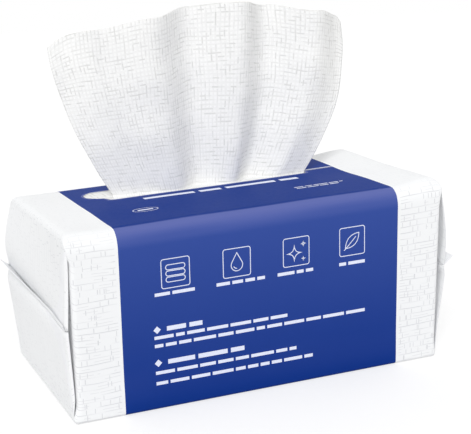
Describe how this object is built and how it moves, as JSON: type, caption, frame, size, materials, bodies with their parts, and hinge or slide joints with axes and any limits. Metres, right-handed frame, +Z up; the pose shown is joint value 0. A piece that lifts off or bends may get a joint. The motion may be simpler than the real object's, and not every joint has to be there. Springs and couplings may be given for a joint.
{
  "type": "pack of disposable face towels",
  "caption": "Soft film pack of interfolded disposable face towels, open slot on top with one towel standing up in waves, blue band, tucked and sealed ends",
  "frame": {"origin": "centre of the pack's footprint, on the floor", "axes": "X along the pack, Y from its front to its back, Z up"},
  "size_m": [0.2216, 0.11, 0.1902],
  "materials": {
    "film": "satin printed film",
    "towel": "white nonwoven cloth"
  },
  "bodies": {
    "root": {"film_wrapper": "film", "towel_stack": "towel", "next_towel": "towel", "pop_up_towel": "towel"}
  },
  "joints": []
}
